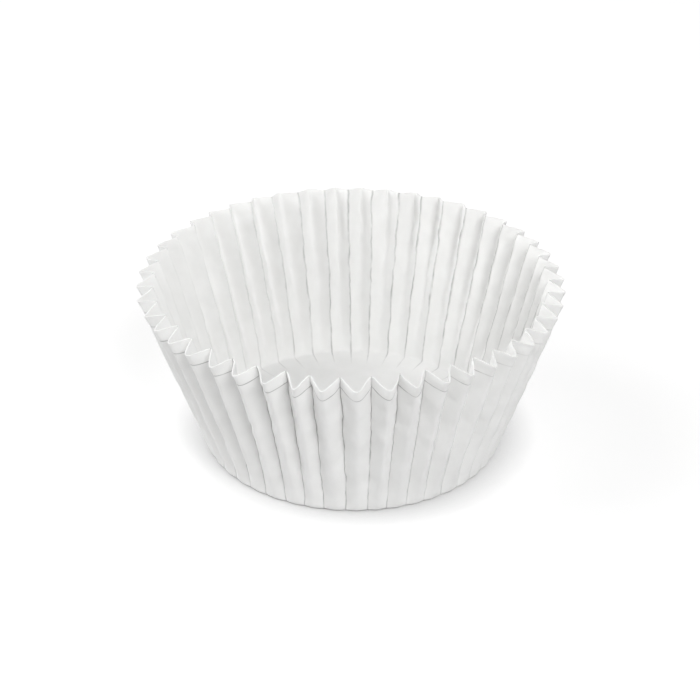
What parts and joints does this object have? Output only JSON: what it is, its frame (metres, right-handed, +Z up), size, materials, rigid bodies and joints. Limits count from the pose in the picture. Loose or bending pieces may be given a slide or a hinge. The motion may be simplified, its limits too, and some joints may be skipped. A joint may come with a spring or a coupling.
{
  "type": "paper candy cup",
  "caption": "Small round fluted paper cup for a sweet: flat base, leaning pleated wall and a short flared lip, open at the top.",
  "frame": {"origin": "middle of the underside of the flat base", "axes": "+Z up along the axis of the cup, from the base to the open rim; +X through the middle of an outer fold"},
  "size_m": [0.0442, 0.0442, 0.0186],
  "materials": {
    "paper": "matt white greaseproof paper, pressed into sharp pleats"
  },
  "bodies": {
    "root": {"paper_cup": "paper"}
  },
  "joints": []
}
